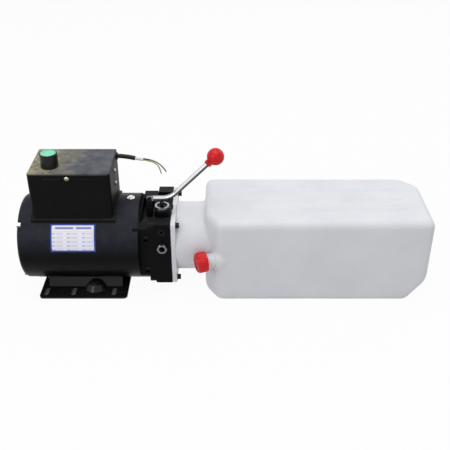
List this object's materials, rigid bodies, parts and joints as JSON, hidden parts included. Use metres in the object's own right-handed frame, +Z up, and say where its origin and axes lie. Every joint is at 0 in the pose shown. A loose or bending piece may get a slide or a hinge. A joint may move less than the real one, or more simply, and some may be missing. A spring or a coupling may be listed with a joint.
{
  "type": "hydraulic power unit",
  "caption": "Horizontal electric motor with a control box, driving a gear pump in a plastic oil tank through a manifold with a hand release lever.",
  "frame": {"origin": "centre of the underside of the foot plate, on the surface the unit is bolted to", "axes": "+X along the motor shaft from the motor to the tank, +Y to the back away from the release lever and the outlet, +Z up"},
  "size_m": [0.7482, 0.1953, 0.2811],
  "materials": {
    "motor_paint": "semi-gloss black paint",
    "casting_black": "satin black paint on a casting",
    "foot_black": "gloss black paint",
    "box_black": "satin black paint",
    "zinc": "zinc plated",
    "steel": "ground steel",
    "dark_steel": "blackened",
    "lamination": "stacked sheet",
    "chrome": "polished",
    "pump_aluminium": "machined",
    "plate": "printed",
    "winding": "varnished copper wire",
    "rubber": "matte",
    "jacket": "satin cable jacket",
    "cord_white": "soft white",
    "core_earth": "yellow and green insulation",
    "core_live": "brown insulation",
    "core_neutral": "blue insulation",
    "tank_white": "translucent moulding",
    "red_plastic": "glossy",
    "green_plastic": "satin",
    "black_plastic": "matte",
    "grey_plastic": "matte",
    "cream_plastic": "matte",
    "filter_white": "matte"
  },
  "bodies": {
    "unit": {"motor_shell": "motor_paint", "rear_end_bell": "motor_paint", "motor_bearings": "steel", "stator_core": "lamination", "stator_windings": "winding", "through_bolts": "zinc", "name_plate": "plate", "earth_screw": "zinc", "foot_base": "foot_black", "box_gasket": "rubber", "box_base": "casting_black", "box_cover": "box_black", "equipment_bracket": "zinc", "start_capacitor": "black_plastic", "run_capacitor": "pump_aluminium", "contactor": "grey_plastic", "terminal_block": "cream_plastic", "box_screws": "zinc", "button_guard": "black_plastic", "button_spring": "steel", "contact_block": "grey_plastic", "cable_gland": "rubber", "cable_jacket": "jacket", "cable_filler": "cord_white", "core_earth": "core_earth", "core_live": "core_live", "core_neutral": "core_neutral", "adapter_casting": "casting_black", "shaft_seal": "rubber", "manifold_block": "casting_black", "block_bolts": "dark_steel", "pump_body": "pump_aluminium", "pump_cover": "pump_aluminium", "pump_bolts": "dark_steel", "suction_tube": "steel", "suction_filter": "filter_white", "return_tube": "steel", "outlet_adapter": "zinc", "relief_plug": "dark_steel", "relief_spring": "steel", "relief_poppet": "steel", "valve_body": "zinc", "valve_spring": "steel", "lever_bracket": "casting_black", "lever_pin": "dark_steel", "oil_tank": "tank_white", "tank_oring": "rubber", "tank_bolts": "dark_steel"},
    "rotor": {"rotor_core": "lamination", "motor_shaft": "steel", "cooling_fan": "black_plastic", "shaft_coupling": "steel", "drive_gear": "steel"},
    "idler": {"driven_gear": "steel"},
    "lever": {"release_lever": "chrome", "lever_knob": "red_plastic"},
    "stem": {"valve_stem": "black_plastic"},
    "button": {"push_button": "green_plastic"},
    "cap": {"filler_cap": "red_plastic"}
  },
  "joints": [
    {"name": "rotor_spin", "type": "hinge", "parent": "unit", "child": "rotor", "pos_m": [0, 0, 0.09], "axis": [1, 0, 0], "continuous": true},
    {"name": "idler_spin", "type": "hinge", "parent": "unit", "child": "idler", "pos_m": [0.18, 0, 0.0636], "axis": [1, 0, 0], "continuous": true},
    {"name": "lever_pivot", "type": "hinge", "parent": "unit", "child": "lever", "pos_m": [0.128, -0.023, 0.1815], "axis": [0, 1, 0], "range_deg": [0, 6.8], "stiffness_Nm_per_rad": 2, "springref_deg": -5.73},
    {"name": "valve_slide", "type": "slide", "parent": "unit", "child": "stem", "axis": [0, 0, -1], "range_m": [0, 0.0031], "deforming": ["valve_spring"]},
    {"name": "button_press", "type": "slide", "parent": "unit", "child": "button", "axis": [0, 0, -1], "range_m": [0, 0.004], "stiffness_N_per_m": 300, "springref_m": -0.003, "deforming": ["button_spring"]},
    {"name": "cap_off", "type": "slide", "parent": "unit", "child": "cap", "axis": [-0.9397, -0.342, 0], "range_m": [0, 0.04]}
  ],
  "couplings": [
    {"joint": "idler_spin", "follows": "rotor_spin", "ratio": -1},
    {"joint": "valve_slide", "follows": "lever_pivot", "m_per_rad": 0.0245}
  ]
}
